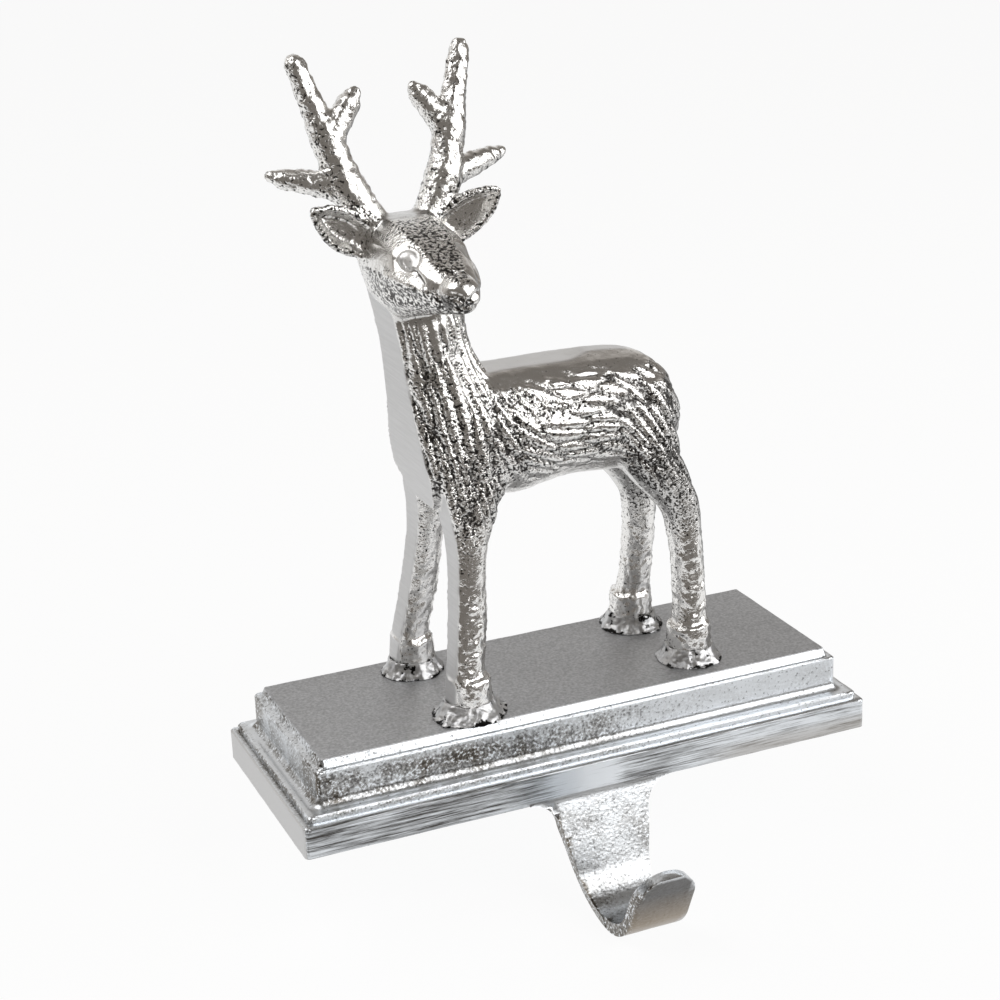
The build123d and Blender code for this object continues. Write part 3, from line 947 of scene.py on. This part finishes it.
def fur_share(places, normals, zones):
    """How far each point is furred: the sides and the neck, not the flats, the back or the belly."""
    _, y, z = places.T
    outer = np.maximum(ease(0.05, 0.3, normals[:, 1] * np.sign(y)), ease(*WITHERS, z))
    furred = outer * (1 - ease(0.2, 0.6, zones.ground)) * (1 - zones.head)
    furred *= 1 - ease(0.66, 0.86, normals[:, 2])
    furred *= 1 - ease(0.45, 0.75, -normals[:, 2])
    furred *= ease(*FUR_FOOT, z) * (1 - ease(*FUR_TOP, z))
    return furred


def lay_fur(places, normals, furred, relief, seed):
    """Raises the tufts of both sides; gives the height of the fur over each point."""
    random = np.random.default_rng(seed)
    heights = np.ones(len(places))
    for side in (-1, 1):
        here = np.nonzero((places[:, 1] * side > 0) & (furred > 0))[0]
        heights[here] = tuft_heights(unrolled(places[here]), random)
    places += normals * (furred * relief * (heights - 0.55))[:, None]
    return heights


def fur_grooves(places, zones, furred, heights):
    """How dark the grooves of the fur are painted, as shade, and the painted shade low on the flank."""
    x, _, z = places.T
    # Painted shade in the fur's grooves, stronger further back
    groove = furred * (1 - heights) * (0.9 + 0.35 * ease(*FLANK, x))
    # Painted shade on the low flank, from the shoulder back
    low = 0.52 * ease(*FLANK_FRONT, x) * (1 - ease(*LOW_FLANK_TOP, z)) * (1 - zones.leg)
    return np.maximum(groove, low)


# Painted shade: the deer's skin has the fewest dark pits on the sides turned towards the key light, which
# shines from this side
KEY_LIGHT_FROM = np.array([0.48, -0.5, 0.72])


def skin_grain_and_shade(places, normals, zones, furred, heights):
    """How grainy the deer's skin is, with painted shade in it: most dark pits on the sides turned left and
    down, away from the light.
    """
    x, _, z = places.T
    up = normals[:, 2]
    side_lighting = np.maximum(normals @ KEY_LIGHT_FROM, 0)
    grain = np.maximum(0.56 - 0.5 * side_lighting, 0.3 * furred)
    grain += furred * (1 - ease(*SHOULDER, x)) * (0.24 - 0.4 * ease(*NECK_RISE, z))
    grain += (0.22 * ease(*RUMP, x) + 0.35 * ease(*TAIL, x)) * (1 - zones.leg)
    grain += furred * (0.65 + 0.25 * ease(*HIP, x)) * (1 - heights)
    grain += 0.2 * furred * ease(*HIP, x) * (1 - ease(*BELLY_TOP, z))
    back = ease(0.55, 0.8, up) * ease(*BACK_FOOT, z) * (1 - zones.head)
    belly = ease(0.3, 0.6, -up) * (1 - ease(*BELLY_TOP, z)) * (1 - zones.leg)
    grain *= (1 - 0.8 * back) * (1 - 0.6 * belly) * (1 - 0.45 * zones.leg)
    # The face: grainy forehead and cheeks, and a smooth band along the eyes. The pits paint shade on the
    # sides turned up and down, and fewest lie on the sides turned right, towards the light
    face_grain_and_shade = 0.06 + 0.8 * ease(0.68, 0.84, up) + 0.98 * (1 - ease(0.0, 0.3, up))
    face_grain_and_shade *= 1 - 0.8 * ease(0.2, 0.5, normals[:, 0])
    return grain + zones.face * (face_grain_and_shade - grain)


class HOLDER_OT_deer(bpy.types.Operator):
    """Cast the deer, carve its fur and face, and grind its flats"""

    bl_idname = "holder.deer"
    bl_label = "Deer"

    def execute(self, context):
        sizes = context.scene.holder_sizes
        piece = copy_of_node("deer", "deer_casting")
        even_skin(piece, sizes.deer_grid)
        apply_modifier(piece, "SMOOTH", factor=0.5, iterations=4)
        places, normals = points_of(piece)
        throat = ground_throat(piece, places, normals)
        plane_legs(places, throat)
        move_points(piece, places)
        zones = deer_zones(places, normals, throat)
        soften_deer(piece, zones)
        crumple_deer(piece, zones, sizes.cast_wave)
        places, normals = points_of(piece)
        furred = fur_share(places, normals, zones)
        heights = lay_fur(places, normals, furred, sizes.tuft_relief / MM, sizes.seed)
        groove = fur_grooves(places, zones, furred, heights)
        thicken_antlers(places, normals)
        dish, rim = hollow_ears(places, normals)
        eye = carve_face(places, normals, groove)
        move_points(piece, places)
        grain = skin_grain_and_shade(places, normals, zones, furred, heights)
        # Painted shadow on the collar below the head, and painted shade on the crown between the antlers:
        # both are smoothed and painted dark
        _, y, z = places.T
        chin_shadow = ease(*COLLAR_FOOT, z) * (1 - zones.head) * (1 - zones.ground)
        crown_shade = ease(0.5, 0.8, normals[:, 2]) * ease(*CROWN_FRONT, y) * zones.head
        crown_shade *= 1 - ease(*FACE_TOP, z)
        for dark, smoothed, deep in ((chin_shadow, 0.6, 0.5), (crown_shade, 0.8, 0.64)):
            grain *= 1 - smoothed * dark
            groove = np.maximum(groove, deep * dark)
        grain += rim * (0.75 - grain) + dish * (0.3 - grain)
        grain *= 1 - zones.ground
        mark(piece, "ground", np.maximum(zones.ground, 0.6 * eye))
        mark(piece, "groove", groove)
        mark(piece, "grain", grain)
        piece.vertex_groups.clear()
        finish_piece(piece, cast_aluminium(context.scene.holder_colours), "cast_aluminium", "deer")
        return {"FINISHED"}


# Soft edges on the base, in millimetres. Along it, from left to right
PATCH_MIDDLE = -4
PATCH_HALF_WIDTH = 10
RISER_SHADE_FADE = (-30, 40)
RISER_BRIGHT = (5, 40)
FRONT_BRIGHT = (10, 40)
FRONT_TINTED = (26, 44)
# From its foot up
HOOK_ROOT = (-2, 0)
PLINTH_UP = (-1, 1)
TINT_TOP = (2, 5)
RISER = (9, 19)
PANEL_EDGE = (19.6, 21.6)
# From its front face out to the hook's tip
FRONT_FACE = (-31, -31.4)
LIP_INSIDE = (-50, -54)
LIP_TIP = (-58, -62)
# Facets nearer than the first angle make one flat, and edges past the second stay sharp
FLAT_ANGLE = math.radians(0.2)
SHARP_ANGLE = math.radians(24)


class HOLDER_OT_base(bpy.types.Operator):
    """Cast the moulded base with its hook, and mark its sanded faces"""

    bl_idname = "holder.base"
    bl_label = "Base with hook"

    def execute(self, context):
        sizes = context.scene.holder_sizes
        piece = copy_of_node("base_with_hook", "base_casting")
        low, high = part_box("base_with_hook")
        bpy.ops.object.mode_set(mode="EDIT")
        bpy.ops.mesh.select_all(action="SELECT")
        bpy.ops.mesh.dissolve_limited(angle_limit=FLAT_ANGLE)
        for axis in range(3):
            way = Vector([axis == way for way in range(3)])
            for cut in np.arange(low[axis] + sizes.base_step, high[axis], sizes.base_step):
                bpy.ops.mesh.select_all(action="SELECT")
                bpy.ops.mesh.bisect(plane_co=way * cut, plane_no=way)
        bpy.ops.object.mode_set(mode="OBJECT")
        wave_skin(piece, "base_wave", 5, sizes.cast_wave / 2, mid_level=0.9)
        places, normals = points_of(piece)
        x, y, z = places.T
        right, back, up = normals.T
        # Painted sheen: the plinth's front is painted brighter towards the right, and in a patch of painted
        # reflection above the hook. The sheen is kept at half its size, because a mark ends at 1
        patch = np.exp(-(((x - PATCH_MIDDLE) / PATCH_HALF_WIDTH) ** 4)) * ease(*PLINTH_UP, z)
        sheen = 0.21 + 0.2 * ease(*FRONT_BRIGHT, x) + 0.5 * patch
        # A tan tint low on the right of the plinth's front, and a painted reflection in tan on the lip's
        # front, which faces forward and down
        tarnish = 0.45 * ease(*FRONT_TINTED, x) * (1 - ease(*TINT_TOP, z)) * ease(*FRONT_FACE, y)
        lip_reflection = ease(-0.4, -0.7, back) * ease(-0.05, -0.25, up) * ease(*LIP_INSIDE, y)
        tarnish = np.maximum(tarnish, 0.9 * lip_reflection)
        riser = band(*RISER, 1, z) * ease(0.3, 0.8, -back)
        left = ease(0.3, 0.7, -right)
        hook = 1 - ease(*HOOK_ROOT, z)
        edge = band(*PANEL_EDGE, 0.4, z)
        # More dark pits are painted on the riser towards the left, as shade
        grain = 0.3 + 0.25 * riser * (1 - ease(*RISER_BRIGHT, x)) + 0.05 * hook + 0.25 * edge
        # Painted shade: a grey wash on the riser that fades out to the right, on the sides turned left, away
        # from the light, and on the hook
        side_lighting = 1 - 0.8 * ease(*RISER_SHADE_FADE, x)
        patina = 0.66 * riser * side_lighting + 0.75 * left + 0.36 * hook + 0.3 * left * hook
        # Painted highlight on the top of the lip's tip, where the grey wash is taken away
        patina *= 1 - 0.8 * ease(*LIP_TIP, y) * ease(0.2, 0.5, up)
        mark(piece, "sheen", sheen)
        mark(piece, "tarnish", tarnish)
        mark(piece, "patina", patina)
        mark(piece, "grain", grain)
        material = sanded_casting(context.scene.holder_colours)
        finish_piece(piece, material, "cast_aluminium", "base_with_hook")
        bpy.ops.object.shade_smooth_by_angle(angle=SHARP_ANGLE)
        return {"FINISHED"}


class HOLDER_OT_welds(bpy.types.Operator):
    """Freeze the weld beads round the hooves"""

    bl_idname = "holder.welds"
    bl_label = "Weld beads"

    def execute(self, context):
        sizes = context.scene.holder_sizes
        piece = copy_of_node("hoof_welds", "weld_beads")
        even_skin(piece, sizes.weld_grid)
        apply_modifier(piece, "SMOOTH", factor=0.5, iterations=8)
        low, high = (corner.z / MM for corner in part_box("hoof_welds"))
        places, _ = points_of(piece)
        share = np.clip((places[:, 2] - low) / (high - low), 0, 1)
        places[:, 2] = low + (high - low) * share * (0.45 + 0.55 * share)
        move_points(piece, places)
        wave_skin(piece, "bead_folds", 4.5, 1.4 * MM)
        wave_skin(piece, "bead_wrinkles", 1.8, 0.5 * MM)
        places, _ = points_of(piece)
        mark(piece, "crack", 1 - ease(low + 0.2, low + 0.9, places[:, 2]))
        finish_piece(piece, weld_aluminium(context.scene.holder_colours), "weld_aluminium", "hoof_welds")
        return {"FINISHED"}


# The paper ends a hand's breadth in front of the hook, so the front shows the dark room as well
FLOOR_SIZE = 3
FLOOR_MIDDLE = 1.36
# The softboxes: name, place, width and height, all turned to one point on the deer
SOFTBOXES = (
    ("key", Vector((0.38, -0.8, 0.62)), 0.55, 1.0),
    ("right", Vector((0.98, -0.5, 0.42)), 0.7, 0.8),
    ("left", Vector((-0.64, 0.12, 0.92)), 0.8, 0.8),
)
LAMP_AIM = Vector((0, 0, 0.08))
FILM_WIDTH = 36
NEAREST_SEEN = 0.01


def studio_world():
    """A dark room with a bright wall low behind the holder; the camera sees plain white."""
    world = bpy.data.worlds.new("studio")
    world.use_nodes = True
    tree = world.node_tree
    tree.nodes.clear()
    path = add_node(tree, "ShaderNodeLightPath").outputs
    way = add_node(tree, "ShaderNodeTexCoord").outputs["Generated"]
    across = add_node(tree, "ShaderNodeSeparateXYZ", {0: way}).outputs
    behind = add_node(tree, "ShaderNodeMapRange", {0: across["Y"], 1: 0.0, 2: 0.4}).outputs[0]
    low = add_node(
        tree, "ShaderNodeMapRange", {0: across["Z"], 1: 0.25, 2: 0.8, 3: 1.0, 4: 0.25}
    ).outputs[0]
    inward = add_node(
        tree, "ShaderNodeMapRange", {0: across["X"], 1: -0.9, 2: -0.45, 3: 0.25, 4: 1.0}
    ).outputs[0]
    aside = add_node(
        tree, "ShaderNodeMapRange", {0: across["X"], 1: 0.5, 2: 0.75, 3: 1.0, 4: 0.25}
    ).outputs[0]
    room = behind
    for share in (low, inward, aside):
        room = add_node(tree, "ShaderNodeMath", {0: room, 1: share}, operation="MULTIPLY").outputs[0]
    room = add_node(tree, "ShaderNodeMath", {0: room, 1: 0.17}, operation="MAXIMUM").outputs[0]
    white = add_node(
        tree, "ShaderNodeMath", {0: path["Is Camera Ray"], 1: room}, operation="MAXIMUM"
    ).outputs[0]
    # The dark of the room is warm, the backdrop is white
    tint = add_node(
        tree,
        "ShaderNodeMix",
        {0: white, 6: colour(linear("#fff3e6")), 7: colour((1, 1, 1))},
        data_type="RGBA",
    ).outputs[2]
    glow = add_node(tree, "ShaderNodeBackground", {"Color": tint, "Strength": white}).outputs[0]
    add_node(tree, "ShaderNodeOutputWorld", {"Surface": glow})
    return world


class HOLDER_OT_stage(bpy.types.Operator):
    """Set the floor, the soft light and the camera"""

    bl_idname = "holder.stage"
    bl_label = "Stage"

    def execute(self, context):
        scene = context.scene
        sizes = scene.holder_stage
        bpy.ops.object.select_all(action="DESELECT")
        bpy.ops.mesh.primitive_plane_add(size=FLOOR_SIZE, location=(0, FLOOR_MIDDLE, CAD_LOW.z))
        floor = context.object
        floor.name = "paper_floor"
        floor.data.materials.append(pale_paper())
        for name, place, width, height in SOFTBOXES:
            bpy.ops.object.light_add(type="AREA", location=place)
            lamp = context.object
            lamp.name = name
            lamp.data.energy = getattr(sizes, name)
            lamp.data.shape = "RECTANGLE"
            lamp.data.size = width
            lamp.data.size_y = height
            lamp.rotation_euler = (LAMP_AIM - place).to_track_quat("-Z", "Y").to_euler()
        scene.world = studio_world()
        bpy.ops.object.camera_add(location=sizes.place)
        camera = context.object
        back = Vector(
            (
                math.sin(sizes.azimuth) * math.cos(sizes.elevation),
                -math.cos(sizes.azimuth) * math.cos(sizes.elevation),
                math.sin(sizes.elevation),
            )
        )
        camera.rotation_mode = "QUATERNION"
        camera.rotation_quaternion = (-back).to_track_quat("-Z", "Y") @ Quaternion((0, 0, 1), sizes.roll)
        camera.data.lens = sizes.focal
        camera.data.sensor_width = FILM_WIDTH
        camera.data.clip_start = NEAREST_SEEN
        scene.camera = camera
        scene.view_settings.view_transform = "Standard"
        return {"FINISHED"}


class HOLDER_PT_panel(bpy.types.Panel):
    """Lists the holder's steps"""

    bl_idname = "HOLDER_PT_panel"
    bl_label = "Stocking holder"
    bl_space_type = "VIEW_3D"
    bl_region_type = "UI"
    bl_category = "Holder"

    def draw(self, context):
        for step in STEPS:
            self.layout.operator(step.bl_idname)


GROUPS = (
    ("holder_sizes", CastingSizes),
    ("holder_colours", FinishColours),
    ("holder_stage", StageSizes),
)
STEPS = (HOLDER_OT_deer, HOLDER_OT_base, HOLDER_OT_welds, HOLDER_OT_stage)


def register():
    """Registers the settings, the steps and the panel."""
    for name, group in GROUPS:
        bpy.utils.register_class(group)
        setattr(bpy.types.Scene, name, PointerProperty(type=group))
    for made in (*STEPS, HOLDER_PT_panel):
        bpy.utils.register_class(made)


def unregister():
    """Takes them out again."""
    for made in (HOLDER_PT_panel, *reversed(STEPS)):
        bpy.utils.unregister_class(made)
    for name, group in reversed(GROUPS):
        delattr(bpy.types.Scene, name)
        bpy.utils.unregister_class(group)


def main():
    """Makes the holder and its stage."""
    register()
    bpy.ops.holder.deer()
    bpy.ops.holder.base()
    bpy.ops.holder.welds()
    bpy.ops.holder.stage()


if __name__ == "__main__":
    main()
